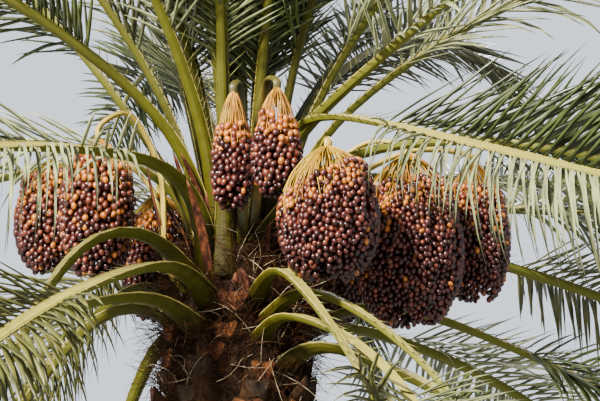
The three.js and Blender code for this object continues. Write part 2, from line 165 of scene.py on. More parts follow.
# The crown's tiers, from the growing tip down. Their age is how limp the leaflets are
tiers = [
    {
        "name": "young", "base": 3436, "rise": 88, "carry": 85, "fall": 68, "bend": 560, "length": 2500,
        "slender": 0.62, "twist": 15, "bare": 0.24, "age": -0.6,
        "headings": [-60, 60, 180],
    },
    {
        "name": "upright", "base": 3395, "rise": 86, "carry": 78, "fall": 44, "bend": 560, "length": 3300,
        "slender": 0.78, "twist": 20, "bare": 0.24, "age": -0.2,
        "headings": [-66, -20, 24, 64, 102, 140, 206, 246],
    },
    {
        "name": "rising", "base": 3375, "rise": 80, "carry": 63, "fall": 14, "bend": 520, "length": 3500,
        "slender": 0.85, "twist": 30, "bare": 0.26, "age": 0.1,
        "headings": [
            ownFrond(-96, 3208, 89, 84, 20, 600, seat=-106),
            0,
            ownFrond(38, 3380, 84, 52, 40, 485),
            92,
            ownFrond(133, 3355, 77, 72, 50, 291),
            184,
            228,
        ],
    },
    {
        "name": "ascending", "base": 3350, "rise": 76, "carry": 41, "fall": -24, "bend": 475, "length": 3650,
        "slender": 0.9, "twist": 45, "bare": 0.28, "age": 0.4,
        "headings": [
            ownFrond(-42, 3355, 87, 30, 12, 360),
            8,
            62,
            106,
            ownFrond(175, 3360, 62, 58, 4, 400),
            212,
        ],
    },
    {
        "name": "spreading", "base": 3290, "rise": 74, "carry": 2, "fall": -46, "bend": 510, "length": 3700,
        "slender": 1, "twist": 60, "bare": 0.31, "age": 0.9,
        "headings": [
            ownFrond(-57, 3386, 82, -17, -19, 483, seat=-50, slender=0.7),
            ownFrond(-26, 3304, 54, 7, -80, 493, seat=-62, slender=0.9),
            ownFrond(12, 3215, 50, 8, -40, 350),
            ownFrond(34, 3290, 80, 8, -14, 360),
            78,
            112,
            154,
            ownFrond(231, 3235, 79, 0, -45, 390, bare=0.2),
        ],
    },
    {
        "name": "leaning", "base": 3050, "rise": 42, "carry": -42, "fall": -76, "bend": 270, "length": 3250,
        "slender": 1, "twist": 45, "bare": 0.38, "age": 0.8,
        "headings": [
            ownFrond(-72, 3035, 30, -23, -64, 315, bare=0.45, slender=0.7),
            ownFrond(24, 3165, 61, -7, -30, 330),
            76,
            104,
            154,
            ownFrond(221, 3120, 46, -58, -84, 540),
        ],
    },
    {
        "name": "drooping", "base": 2870, "rise": 36, "carry": -48, "fall": -80, "bend": 295, "length": 3000,
        "slender": 1, "twist": 35, "bare": 0.38, "age": 0.7, "step": 80,
        "headings": [
            ownFrond(-66, 2872, 27, -9, -84, 212, bare=0.5, slender=0.7),
            ownFrond(-58, 2955, 30, -17, -84, 290, bare=0.5, slender=0.76),
            ownFrond(-36, 2770, 30, -20, -70, 200),
            ownFrond(9, 2920, 32, -17, -45, 391),
            ownFrond(41, 2870, 33, -6, -48, 300, bare=0.24),
            88,
            128,
            174,
            ownFrond(229, 2925, 30, -12, -50, 300),
            ownFrond(244, 3025, 31, -13, -50, 340),
        ],
    },
]
ownNodes = ("spreading", "leaning", "drooping")  # tiers whose fronds are nodes of their own


class Frond:
    def __init__(self, tier, entry, index):
        ordinary = not isinstance(entry, dict)
        own = {**tier, "heading": entry} if ordinary else {**tier, **entry}
        loose = 1 if ordinary else 0
        self.tier = tier
        self.heading = own["heading"]
        self.bare = own["bare"]
        self.slender = own["slender"]
        self.seed = index * 7 + tier["base"]
        self.length = own["length"] * (1 + wander["length"] * vary(self.seed))
        self.rise = own["rise"]
        self.bend = own["bend"]
        self.carry = own["carry"] + wander["carry"] * loose * vary(self.seed + 1)
        self.fall = own["fall"] + wander["fall"] * loose * vary(self.seed + 2)
        self.twist = math.radians(tier["twist"]) * (1 if vary(self.seed + 4) > 0 else -1)
        self.out = headingWay(self.heading)
        self.across = levelSide(self.out)
        step = tier.get("step", 0) * loose * (index % 2)
        z = own["base"] + step + wander["base"] * loose * vary(self.seed + 3)
        seat = headingWay(own.get("seat", self.heading)) * trunkRadius(z)
        self.path = [trunkMiddle(z) + seat - self.alongAt(0) * petiole["inset"]]
        pace = petiole["pace"]
        s = 0
        while s < self.length + petiole["inset"]:
            direction = self.alongAt(max(0, s + pace / 2 - petiole["inset"]))
            self.path.append(self.path[-1] + direction * pace)
            s += pace

    def alongAt(self, s):
        bent = (self.rise - self.carry) * math.exp(-((s / self.bend) ** 2))
        fallen = (self.fall - self.carry) * (s / self.length) ** petiole["sag"]
        return climbingWay(self.out, math.radians(bent + self.carry + fallen))

    # Where the rib is at s millimetres out from the head, which way it runs, and how thick it is
    def station(self, s):
        place = min(len(self.path) - 1.001, (s + petiole["inset"]) / petiole["pace"])
        low = int(place)
        middle = self.path[low].lerp(self.path[low + 1], place % 1)
        along = self.alongAt(max(0, s))
        share = min(1, max(0, s / self.length))
        flare = math.exp(-max(0, s) / petiole["flareLength"])
        thin = (1 - share) ** petiole["taper"]
        width = mix(petiole["tipWidth"], petiole["width"], thin) + petiole["flareWidth"] * flare
        thick = mix(petiole["tipThickness"], petiole["thickness"], thin) + petiole["flareThickness"] * flare
        width *= self.slender
        thick *= self.slender
        turned = self.twist * smooth(share, petiole["twistFrom"], petiole["twistTo"])
        side = Matrix.Rotation(turned, 3, along) @ self.across
        station = stationAt(middle * mm, side, side.cross(along), width * mm, thick * mm)
        return {**station, "along": along}


fronds = [Frond(tier, entry, i) for tier in tiers for i, entry in enumerate(tier["headings"])]


def frondsOf(tierNames):
    return [frond for frond in fronds if frond.tier["name"] in tierNames]


def frondNodes(tierNames):
    starts = tuple(name + "_frond" if name in ownNodes else "upright_fronds" for name in tierNames)
    return sorted(name for name in nodes if name.startswith(starts))


# The fruit bunches: heading and reach of where each hangs, its stalk's root, foot and arch, its own size, the
# share of its height that is bare strands, and how fast these spread
bunches = [
    {
        "heading": -165, "root": -163, "foot": 3050, "reach": 656, "arch": 3890, "top": 3749,
        "height": 591, "radius": 165, "bare": 0.12, "spread": 0.5,
    },
    {
        "heading": 171, "root": 168, "foot": 3050, "reach": 893, "arch": 3790, "top": 3720,
        "height": 500, "radius": 160, "bare": 0.14, "spread": 0.5,
    },
    {
        "heading": -94, "root": -88, "foot": 3260, "reach": 421, "arch": 3975, "top": 3923,
        "height": 509, "radius": 94, "bare": 0.34, "spread": 0.75,
    },
    {
        "heading": -74, "root": -76, "foot": 3295, "reach": 587, "arch": 3965, "top": 3902,
        "height": 458, "radius": 108, "bare": 0.28, "spread": 0.7,
    },
    {
        "heading": -64, "root": -45, "foot": 3050, "reach": 857, "arch": 3660, "top": 3604,
        "height": 541, "radius": 211, "bare": 0.16, "spread": 0.5,
    },
    {
        "heading": -24, "root": -31, "foot": 3050, "reach": 798, "arch": 3725, "top": 3664,
        "height": 740, "radius": 238, "bare": 0.2, "spread": 0.55,
    },
    {
        "heading": -3, "root": -5, "foot": 3050, "reach": 1042, "arch": 3737, "top": 3672,
        "height": 610, "radius": 156, "bare": 0.2, "spread": 0.6,
    },
    {
        "heading": 50, "root": 48, "foot": 3050, "reach": 640, "arch": 3670, "top": 3590,
        "height": 560, "radius": 178, "bare": 0.22, "spread": 0.55,
    },
    {
        "heading": 131, "root": 129, "foot": 3050, "reach": 620, "arch": 3710, "top": 3630,
        "height": 590, "radius": 172, "bare": 0.22, "spread": 0.55,
    },
]
# How ripe each bunch is: its orange and turning shares, the side that stays bare longest and how far down,
# the share of its strands that is yellow, how large its dates are, and how orange its top is
ripeness = [
    {"orange": 0.15, "turning": 0.30, "side": 330, "late": 0.12, "yellow": 0.5, "size": 1.16},
    {"orange": 0.13, "turning": 0.30, "side": 200, "late": 0.06, "yellow": 0.5, "size": 1.12},
    {"orange": 0.03, "turning": 0.17, "side": 180, "late": 0.03, "yellow": 0.25, "size": 1.12, "top": 0.45},
    {"orange": 0.05, "turning": 0.18, "side": 0, "late": 0.10, "yellow": 0.25, "size": 1.12, "top": 0.82},
    {"orange": 0.035, "turning": 0.19, "side": 180, "late": 0.27, "yellow": 0.9, "size": 0.97},
    {"orange": 0.03, "turning": 0.25, "side": 160, "late": 0.08, "yellow": 0.45, "size": 0.94},
    {"orange": 0.07, "turning": 0.25, "side": 0, "late": 0.05, "yellow": 0.3, "size": 0.94},
    {"orange": 0.06, "turning": 0.24, "side": 90, "late": 0.08, "yellow": 0.4, "size": 1.05},
    {"orange": 0.06, "turning": 0.24, "side": 90, "late": 0.08, "yellow": 0.4, "size": 1.05},
]


print("materials")


# A node whose sockets are set to values or linked from other nodes
def addNode(tree, kind, sockets, **settings):
    node = tree.nodes.new("ShaderNode" + kind)
    for key, value in settings.items():
        setattr(node, key, value)
    for key, value in sockets.items():
        if isinstance(value, bpy.types.NodeSocket):
            tree.links.new(value, node.inputs[key])
        else:
            node.inputs[key].default_value = value
    return node


def addNoise(tree, vector, scale, detail):
    return addNode(tree, "TexNoise", {"Vector": vector, "Scale": scale, "Detail": detail}).outputs["Fac"]


def addMath(tree, operation, *values):
    return addNode(tree, "Math", dict(enumerate(values)), operation=operation).outputs["Value"]


def addRange(tree, value, low, high, bottom=0, top=1):
    sockets = {"Value": value, "From Min": low, "From Max": high, "To Min": bottom, "To Max": top}
    return addNode(tree, "MapRange", sockets).outputs["Result"]


def addRamp(tree, factor, stops):
    ramp = addNode(tree, "ValToRGB", {"Fac": factor})
    elements = ramp.color_ramp.elements
    for element, (position, shade) in ((elements[0], stops[0]), (elements[1], stops[-1])):
        element.position = position
        element.color = (*shade, 1)
    for position, shade in stops[1:-1]:
        elements.new(position).color = (*shade, 1)
    return ramp.outputs["Color"]


def addBump(tree, shader, height, strength, distance):
    bump = addNode(tree, "Bump", {"Strength": strength, "Distance": distance, "Height": height})
    tree.links.new(bump.outputs["Normal"], shader.inputs["Normal"])


def startMaterial(name, look):
    material = bpy.data.materials.new(name)
    material.use_nodes = True
    shader = material.node_tree.nodes["Principled BSDF"]
    shader.inputs["Roughness"].default_value = look["roughness"]
    shader.inputs["Specular IOR Level"].default_value = look.get("specular", 0.5)
    return material, material.node_tree, shader


rampFrom, rampTo = 0.32, 0.68  # the part of the noise that the shades share out


# A principled material whose colour wanders between shades by noise, with a fine bump
def makeMaterial(name, look):
    material, tree, shader = startMaterial(name, look)
    coordinates = addNode(tree, "TexCoord", {}).outputs["Object"]
    mapping = addNode(tree, "Mapping", {"Scale": look.get("stretch", (1, 1, 1)), "Vector": coordinates})
    vector = mapping.outputs["Vector"]
    shades = look["shades"]
    stops = [(mix(rampFrom, rampTo, i / (len(shades) - 1)), shade) for i, shade in enumerate(shades)]
    colour = addRamp(tree, addNoise(tree, vector, look["grain"], look.get("detail", 4)), stops)
    tree.links.new(colour, shader.inputs["Base Color"])
    if "bump" in look:
        addBump(tree, shader, addNoise(tree, vector, look["bumpGrain"], 6), look["bump"], look["bumpDepth"])
    return material


sawnLook = {"grain": 22, "specular": 0.1, "bump": 0.5, "bumpGrain": 120, "bumpDepth": 0.003}
leafLook = {"grain": 9, "roughness": 0.4, "specular": 0.3}
strandLook = {"grain": 16, "roughness": 0.5, "specular": 0.2}
dateLook = {"grain": 45, "detail": 1}
stalkLook = {
    "grain": 12, "roughness": 0.45, "specular": 0.3,
    "bump": 0.3, "bumpGrain": 90, "bumpDepth": 0.002, "stretch": (1, 1, 0.4),
}
looks = {
    "bark": {
        "shades": [(0.002, 0.001, 0.0006), (0.008, 0.004, 0.002), (0.026, 0.015, 0.008)],
        "grain": 14, "roughness": 0.95, "specular": 0.05,
        "bump": 0.8, "bumpGrain": 60, "bumpDepth": 0.01, "stretch": (1, 1, 0.45),
    },
    "oldBase": {
        "shades": [(0.003, 0.0012, 0.0006), (0.014, 0.006, 0.0026), (0.038, 0.021, 0.010)],
        "grain": 9, "roughness": 0.9, "specular": 0.06,
        "bump": 0.7, "bumpGrain": 70, "bumpDepth": 0.006, "stretch": (1, 1, 0.5),
    },
    "sawnOrange": {
        **sawnLook, "roughness": 0.8,
        "shades": [(0.008, 0.0024, 0.0008), (0.036, 0.0104, 0.0024), (0.098, 0.032, 0.0072)],
    },
    "sawnGrey": {
        **sawnLook, "roughness": 0.9,
        "shades": [(0.003, 0.0014, 0.0007), (0.010, 0.0054, 0.0026), (0.026, 0.016, 0.0085)],
    },
    "fibreBrown": {
        "shades": [(0.003, 0.0014, 0.0006), (0.022, 0.010, 0.004)],
        "grain": 25, "roughness": 0.95, "specular": 0.05,
    },
    "fibreRust": {
        "shades": [(0.010, 0.0034, 0.0009), (0.048, 0.0175, 0.0043)],
        "grain": 25, "roughness": 0.9, "specular": 0.08,
    },
    "fibrePale": {
        "shades": [(0.085, 0.058, 0.030), (0.27, 0.215, 0.14)],
        "grain": 25, "roughness": 0.9, "specular": 0.1,
    },
    "driedSheath": {
        "shades": [(0.006, 0.0016, 0.0007), (0.026, 0.0062, 0.0021), (0.080, 0.024, 0.007)],
        "grain": 14, "roughness": 0.7, "specular": 0.12,
        "bump": 0.4, "bumpGrain": 80, "bumpDepth": 0.003, "stretch": (4, 4, 0.6),
    },
    "leafGreen": {**leafLook, "shades": [(0.014, 0.019, 0.003), (0.044, 0.056, 0.011)]},
    "leafGrey": {**leafLook, "shades": [(0.058, 0.067, 0.026), (0.17, 0.178, 0.084)]},
    # painted shade: a darker copy of the leaf colour for leaflets whose shaded undersides show
    "leafDeep": {**leafLook, "shades": [(0.009, 0.013, 0.0022), (0.028, 0.037, 0.0075)]},
    "leafOlive": {**leafLook, "roughness": 0.42, "shades": [(0.022, 0.024, 0.0035), (0.072, 0.070, 0.015)]},
    "spineGreen": {**leafLook, "roughness": 0.45, "shades": [(0.040, 0.042, 0.006), (0.10, 0.095, 0.018)]},
    # pale stem edges: their own margin colour together with a painted highlight
    "stemRim": {
        "shades": [(0.085, 0.066, 0.010), (0.215, 0.177, 0.044)],
        "grain": 22, "roughness": 0.45, "specular": 0.25,
    },
    "stalkYellow": {**stalkLook, "shades": [(0.11, 0.075, 0.004), (0.21, 0.15, 0.013), (0.33, 0.255, 0.040)]},
    "stalkOlive": {
        **stalkLook,
        "shades": [(0.014, 0.012, 0.0012), (0.036, 0.030, 0.0028), (0.10, 0.064, 0.007)],
    },
    "strandOrange": {**strandLook, "shades": [(0.125, 0.038, 0.0006), (0.285, 0.118, 0.0030)]},
    "strandYellow": {**strandLook, "shades": [(0.15, 0.078, 0.0014), (0.31, 0.188, 0.0060)]},
    "dateRipe": {
        **dateLook, "roughness": 0.32, "specular": 0.30,
        "shades": [(0.008, 0.0013, 0.0009), (0.029, 0.0047, 0.0030)],
    },
    "datePlum": {
        **dateLook, "roughness": 0.33, "specular": 0.30,
        "shades": [(0.018, 0.0033, 0.0024), (0.052, 0.0102, 0.0066)],
    },
    "dateTurning": {
        **dateLook, "roughness": 0.36, "specular": 0.33,
        "shades": [(0.036, 0.0062, 0.0024), (0.095, 0.0185, 0.0052)],
    },
    "dateOrange": {
        **dateLook, "roughness": 0.38, "specular": 0.33,
        "shades": [(0.128, 0.029, 0.0014), (0.262, 0.081, 0.0038)],
    },
    # painted shade: a near-black colour for the dark body inside the bunches
    "bunchShade": {
        "shades": [(0.002, 0.0006, 0.0005), (0.006, 0.0016, 0.0012)],
        "grain": 40, "roughness": 1, "specular": 0,
    },
    "floor": {"shades": [(0.25, 0.25, 0.245), (0.27, 0.27, 0.265)], "grain": 0.5, "roughness": 0.9},
}
materials = {name: makeMaterial(name, look) for name, look in looks.items()}


# The leaf stems turn from brown at the head through olive to yellow green, and are paler on top: the pale top
# is painted sunlight on their upward faces, and their darkest brown near the head is partly painted shade of
# the crown
stemLook = {
    "roughness": 0.5,
    "specular": 0.08,
    "shades": [
        # the darkest shades, nearest the head, are the stems' own brown made darker by painted shade of the
        # crown
        (0.0, (0.0080, 0.0042, 0.0003)),
        (0.08, (0.0130, 0.0092, 0.0004)),
        (0.20, (0.0200, 0.0172, 0.0007)),
        (0.45, (0.044, 0.044, 0.0035)),
        (1.0, (0.082, 0.082, 0.0115)),
    ],
    # the colour of the painted sunlight on the stems' upward faces
    "top": (0.142, 0.125, 0.023),
    "mottle": {"scale": 18, "detail": 5},
    "streak": {"scale": 75, "detail": 3},  # lengthwise, because it is the same along a ray from the trunk
    "unevenness": 0.44,
    "ramp": (0.54, 1.85),  # metres from the trunk's middle, with the unevenness added
    "higher": (3.25, 3.6, 0, 0.24),  # on higher stems the shades start so many metres farther in
    "skyward": (0.15, 0.85),
    "outward": (0.32, 0.85),
    # how the painted sunlight on top breaks up with the unevenness
    "sunPatches": (0.72, 1.0, 0.35),
    "bump": (0.35, 0.003),
}


def makeStemMaterial(look):
    material, tree, shader = startMaterial("stemGreen", look)
    coordinates = addNode(tree, "TexCoord", {})
    place = coordinates.outputs["Object"]
    sockets = {"Location": (-trunk["sweep"] * mm, 0, 0), "Scale": (1, 1, 0), "Vector": place}
    level = addNode(tree, "Mapping", sockets).outputs["Vector"]
    away = addNode(tree, "VectorMath", {0: level}, operation="LENGTH").outputs["Value"]
    ray = addNode(tree, "VectorMath", {0: level}, operation="NORMALIZE").outputs["Vector"]
    mottle = addNoise(tree, place, **look["mottle"])
    uneven = addMath(tree, "ADD", mottle, addNoise(tree, ray, **look["streak"]))
    height = addNode(tree, "SeparateXYZ", {"Vector": place}).outputs["Z"]
    facing = addNode(tree, "SeparateXYZ", {"Vector": coordinates.outputs["Normal"]}).outputs["Z"]
    reached = addMath(tree, "ADD", away, addRange(tree, height, *look["higher"]))
    reached = addMath(tree, "MULTIPLY_ADD", uneven, look["unevenness"], reached)
    shade = addRamp(tree, addRange(tree, reached, *look["ramp"]), look["shades"])
    # painted sunlight: faces turned up, away from the trunk, mix toward the pale top colour
    skyward = addRange(tree, facing, *look["skyward"])
    sunlitTop = addMath(tree, "MULTIPLY", skyward, addRange(tree, away, *look["outward"]))
    sunlitTop = addMath(tree, "MULTIPLY", sunlitTop, addRange(tree, uneven, *look["sunPatches"]))
    blend = addNode(tree, "MixRGB", {"Fac": sunlitTop, "Color1": shade, "Color2": (*look["top"], 1)})
    tree.links.new(blend.outputs["Color"], shader.inputs["Base Color"])
    addBump(tree, shader, uneven, *look["bump"])
    return material


materials["stemGreen"] = makeStemMaterial(stemLook)


# Making and joining pieces
def addPiece(name, mesh, material, replaced=()):
    piece = addObject(name, mesh)
    mesh.materials.clear()
    mesh.materials.append(materials[material])
    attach(piece, "root")
    if replaced:
        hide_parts(*replaced)
    return piece


def meshFrom(bm, name, smoothed=True, crease=None):
    bmesh.ops.recalc_face_normals(bm, faces=bm.faces[:])
    for face in bm.faces:
        face.smooth = smoothed
    if crease:
        for edge in bm.edges:
            edge.smooth = edge.calc_face_angle(0) < math.radians(crease)
    mesh = bpy.data.meshes.new(name)
    bm.to_mesh(mesh)
    bm.free()
    return mesh


# One mesh of many copies of a small one, each placed by its three axes and its origin
def meshOfCopies(name, template, placings):
    count = len(placings)
    points = np.empty(len(template.vertices) * 3)
    template.vertices.foreach_get("co", points)
    points = np.c_[points.reshape(-1, 3), np.ones(len(template.vertices))]
    placed = np.einsum("kij,ni->knj", np.array(placings), points)
    corners = np.empty(len(template.loops), int)
    template.loops.foreach_get("vertex_index", corners)
    starts = np.empty(len(template.polygons), int)
    template.polygons.foreach_get("loop_start", starts)
    steps = np.arange(count)[:, None]
    mesh = bpy.data.meshes.new(name)
    mesh.vertices.add(count * len(points))
    mesh.vertices.foreach_set("co", placed.ravel())
    mesh.loops.add(count * len(corners))
    mesh.loops.foreach_set("vertex_index", (corners + steps * len(points)).ravel())
    mesh.polygons.add(count * len(starts))
    mesh.polygons.foreach_set("loop_start", (starts + steps * len(corners)).ravel())
    mesh.polygons.foreach_set("use_smooth", np.ones(count * len(starts), bool))
    mesh.update(calc_edges=True)
    mesh.validate()
    return mesh


# A section drawn along stations by extruding its ring, closed at both ends
def sweepSection(bm, section, stations, pointed=False):
    order = [bm.verts.new(placeCorner(corner, stations[0])) for corner in section]
    edges = [bm.edges.new((order[i - 1], order[i])) for i in range(len(order))]
    bm.faces.new(order)
    for station in stations[1:]:
        grown = bmesh.ops.extrude_edge_only(bm, edges=edges)["geom"]
        fresh = {v for v in grown if isinstance(v, bmesh.types.BMVert)}
        edges = [e for e in grown if isinstance(e, bmesh.types.BMEdge)]
        edges = [e for e in edges if e.verts[0] in fresh and e.verts[1] in fresh]
        above = {}
        for vert in fresh:
            for edge in vert.link_edges:
                other = edge.other_vert(vert)
                if other not in fresh:
                    above[other] = vert
        order = [above[vert] for vert in order]
        for corner, vert in zip(section, order):
            vert.co = placeCorner(corner, station)
    if pointed:
        bmesh.ops.pointmerge(bm, verts=order, merge_co=stations[-1]["middle"])
    else:
        bm.faces.new(order)


def placeCorner(corner, station):
    return (
        station["middle"]
        + station["across"] * (corner[0] * station["width"])
        + station["up"] * (corner[1] * station["thickness"])
    )


def circleSection(sides):
    return [(math.cos(-math.tau * i / sides) / 2, math.sin(-math.tau * i / sides) / 2) for i in range(sides)]


diamondSection = [(-0.5, 0), (0, 0.5), (0.5, 0), (0, -0.5)]
alongX, alongY, alongZ = Vector((1, 0, 0)), Vector((0, 1, 0)), Vector((0, 0, 1))


# Thin threads as bevelled splines, each with its own thickness along it
def meshOfThreads(name, threads):
    curve = bpy.data.curves.new(name, "CURVE")
    curve.dimensions = "3D"
    curve.bevel_depth = 1
    curve.bevel_resolution = 0
    curve.use_fill_caps = True
    for points, radii in threads:
        spline = curve.splines.new("POLY")
        spline.points.add(len(points) - 1)
        for knot, point, radius in zip(spline.points, points, radii):
            knot.co = (*point, 1)
            knot.radius = radius
    holder = addObject(name, curve)
    mesh = bpy.data.meshes.new_from_object(holder)
    bpy.data.objects.remove(holder)
    bpy.data.curves.remove(curve)
    mesh.name = name
    return mesh


print("trunk")
bark = {
    "sides": 84,
    "step": 32,
    "tipStep": 4,
    "grain": 9,
    "relief": 0.011,
    "fibreRelief": 0.016,  # rougher on the head, where sheath fibre clings
    "fibreFrom": (2.6, 2.9),
    "level": 0.7,  # the roughness that stays on the trunk's rule
}


def buildTrunk():
    bm = bmesh.new()
    top = trunk["height"]
    stations = []
    for z in [*range(0, top, bark["step"]), top - bark["tipStep"], top]:
        width = 2 * trunkRadius(z) * mm
        stations.append(stationAt(trunkMiddle(z) * mm, alongX, alongY, width, width))
    sweepSection(bm, circleSection(bark["sides"]), stations)
    for vert in bm.verts:
        if vert.co.z < mm:
            continue
        out = Vector((vert.co.x, vert.co.y, 0)).normalized()
        rough = noise.turbulence(vert.co * bark["grain"], 4, False)
        onHead = smooth(vert.co.z, *bark["fibreFrom"])
        vert.co += out * (rough - bark["level"]) * mix(bark["relief"], bark["fibreRelief"], onHead)
    return meshFrom(bm, "trunk_bark")


addPiece("trunk_bark", buildTrunk(), "bark", ["trunk"])

# Old leaf bases in the source's spiral, with two finer ones between each pair of its own
oldBases = {
    "count": 64,
    "between": 3,
    "from": 210,
    "to": 2700,
    "highest": 3120,
    "rootInset": 70,
    "width": (118, 150),
    "thickness": (40, 56),
    "reach": (58, 150),
    "tilt": (34, 52),
    "taper": (1.12, 1.06, 0.95, 0.86),
    "uneven": 0.12,
    "turn": 4,
    "finer": 0.8,
    "shortFrom": (2500, 2800),
    "short": 0.42,
    "clear": 0.095,  # metres kept from a living stem
    "clearFrom": 2640,
    "freshFrom": 2300,  # where half of the sawn faces are still orange
    "freshSpan": 1400,
    "cut": (0.93, 0.9),  # the sawn face's share of the base's width and thickness
    "cutDepth": 0.004,
    "grain": 28,
    "relief": 0.004,
}
baseSection = [
    (-0.5, 0.30), (-0.40, 0.50), (-0.18, 0.40), (0, 0.36), (0.18, 0.40), (0.40, 0.50), (0.5, 0.30),
    (0.40, -0.10), (0.27, -0.38), (0.10, -0.5), (-0.10, -0.5), (-0.27, -0.38), (-0.40, -0.10),
]
stemPoints = [frond.station(s)["middle"] for frond in fronds for s in range(-20, 260, 40)]


def oldBaseStations(index):
    age = index / (oldBases["count"] - 1)
    z = mix(oldBases["from"], oldBases["to"], age)
    age = min(1, age)

    def size(key, seed):
        return mix(*oldBases[key], age) * (1 + oldBases["uneven"] * vary(index * 3 + seed))

    out = headingWay(index * goldenAngle + oldBases["turn"] * vary(index))
    across = levelSide(out)
    tilt = math.radians(size("tilt", 1))
    along = climbingWay(out, tilt)
    surface = trunkMiddle(z) + out * trunkRadius(z)
    width = size("width", 2)
    thickness = mix(*oldBases["thickness"], age)
    finer = oldBases["finer"] if index != int(index) else 1
    reach = size("reach", 4) * finer * mix(1, oldBases["short"], smooth(z, *oldBases["shortFrom"]))
    stations = []
    for s, share in zip((-oldBases["rootInset"], 0, 0.5 * reach, reach), oldBases["taper"]):
        turned = max(0, s / reach) ** 3  # the end is sawn level
        up = across.cross(along).lerp(alongZ, turned)
        depth = thickness * mix(1, 1 / math.cos(tilt), turned)
        stations.append(stationAt((surface + along * s) * mm, across, up, width * share * mm, depth * mm))
    return stations, out, z


def buildOldBases():
    bm = bmesh.new()
    faces = {"sawnOrange": bmesh.new(), "sawnGrey": bmesh.new()}
    total = int(oldBases["count"] * oldBases["between"] * (oldBases["highest"] / oldBases["to"]))
    for i in range(total):
        stations, out, z = oldBaseStations(i / oldBases["between"])
        end = stations[-1]
        if z > oldBases["clearFrom"]:
            reached = [station["middle"] for station in stations[1:]]
            if any((p - q).length < oldBases["clear"] for p in reached for q in stemPoints):
                continue
        sweepSection(bm, baseSection, stations)
        fresh = vary(i * 1.7) + (z - oldBases["freshFrom"]) / oldBases["freshSpan"]
        wide, thick = oldBases["cut"]
        cut = dict(end, width=end["width"] * wide, thickness=end["thickness"] * thick)
        skin = dict(cut, middle=end["middle"] + out * oldBases["cutDepth"])
        root = dict(cut, middle=end["middle"] - out * oldBases["cutDepth"])
        sweepSection(faces["sawnOrange" if fresh > 0 else "sawnGrey"], baseSection, [root, skin])
    for vert in bm.verts:
        vert.co += noise.noise_vector(vert.co * oldBases["grain"]) * oldBases["relief"]
    addPiece("old_leaf_bases", meshFrom(bm, "old_leaf_bases", False), "oldBase", ["trunk"])
    for look, cuts in faces.items():
        name = look.replace("sawn", "sawn_faces_").lower()
        addPiece(name, meshFrom(cuts, look, False), look, ["trunk"])


buildOldBases()

# Loose threads of sheath fibre that cling to the head
fibre = {
    "from": 2480,
    "to": 3440,
    "length": (0.06, 0.26),
    "radius": 0.0013,
    "thick": (0.6, 1.5),
    "taper": (1, 1, 0.9, 0.7, 0.3),
    "standOff": (-0.004, 0.05),
    "looseFrom": (2600, 3000),
    "clear": 0.062,  # metres kept from a living stem's middle
    "kinds": {
        "brown": {"material": "fibreBrown", "count": 4200, "seed": 3, "lift": 1.0},
        "rust": {"material": "fibreRust", "count": 1300, "seed": 5, "lift": 1.1},
        "pale": {"material": "fibrePale", "count": 400, "seed": 4, "lift": 1.3},
    },
}


def fibreThreads(count, seed, lift):
    draw = random.Random(seed)
    threads = []
    for _ in range(count):
        z = mix(fibre["from"], fibre["to"], draw.random() ** 0.7)
        out = headingWay(draw.uniform(0, 360))
        point = (trunkMiddle(z) + out * trunkRadius(z)) * mm + out * draw.uniform(*fibre["standOff"])
        if any((point - stem).length < fibre["clear"] for stem in stemPoints):
            continue
        length = draw.uniform(*fibre["length"])
        loose = lift * mix(0.25, 1, smooth(z, *fibre["looseFrom"]))
        way = levelSide(out) * draw.uniform(-1, 1)
        way = way + Vector((0, 0, draw.uniform(-0.5, 1))) + out * draw.uniform(0, loose)
        way.normalize()
        curl = Vector((draw.uniform(-1, 1), draw.uniform(-1, 1), draw.uniform(-1.2, 0.4))) * 0.5
        steps = len(fibre["taper"]) - 1
        points = [point.copy()]
        for _ in range(steps):
            point = point + way * length / steps
            way = (way + curl * 0.5).normalized()
            points.append(point.copy())
        thick = fibre["radius"] * draw.uniform(*fibre["thick"])
        threads.append((points, [thick * share for share in fibre["taper"]]))
    return threads


for kind, tuft in fibre["kinds"].items():
    threads = fibreThreads(tuft["count"], tuft["seed"], tuft["lift"])
    name = "head_fibre_" + kind
    addPiece(name, meshOfThreads(name, threads), tuft["material"], ["trunk"])

print("leaf stems")
stemSection = [
    (-0.5, 0.36), (-0.27, 0.5), (0, 0.42), (0.27, 0.5), (0.5, 0.36), (0.47, 0.02),
    (0.34, -0.32), (0.15, -0.49), (-0.15, -0.49), (-0.34, -0.32), (-0.47, 0.02),
]
stemMesh = {
    "near": [-petiole["inset"], -20, 20, 60, 105, 155, 215, 290, 380, 480, 590],
    "farFrom": 700,
    "farTo": 0.985,
    "farCount": 26,
    "crease": 24,
}
# The pale edges of the leaf stems, where their flat upper face ends: partly their own pale margins, partly a
# painted highlight along the edges
rim = {
    "across": 0.47,
    "up": 0.40,
    "share": 0.09,  # of the stem's width
    "least": 0.002,
    "before": 26,  # the stem's station that it doesn't reach
}


def stemStations(frond):
    far = np.linspace(stemMesh["farFrom"], frond.length * stemMesh["farTo"], stemMesh["farCount"]).tolist()
    return [frond.station(s) for s in stemMesh["near"] + far]


def buildStems(name, tierNames):
    bm = bmesh.new()
    for frond in frondsOf(tierNames):
        stations = stemStations(frond)
        stations.append(frond.station(frond.length))
        sweepSection(bm, stemSection, stations, pointed=True)
    mesh = meshFrom(bm, name, crease=stemMesh["crease"])
    addPiece(name, mesh, "stemGreen", frondNodes(tierNames))


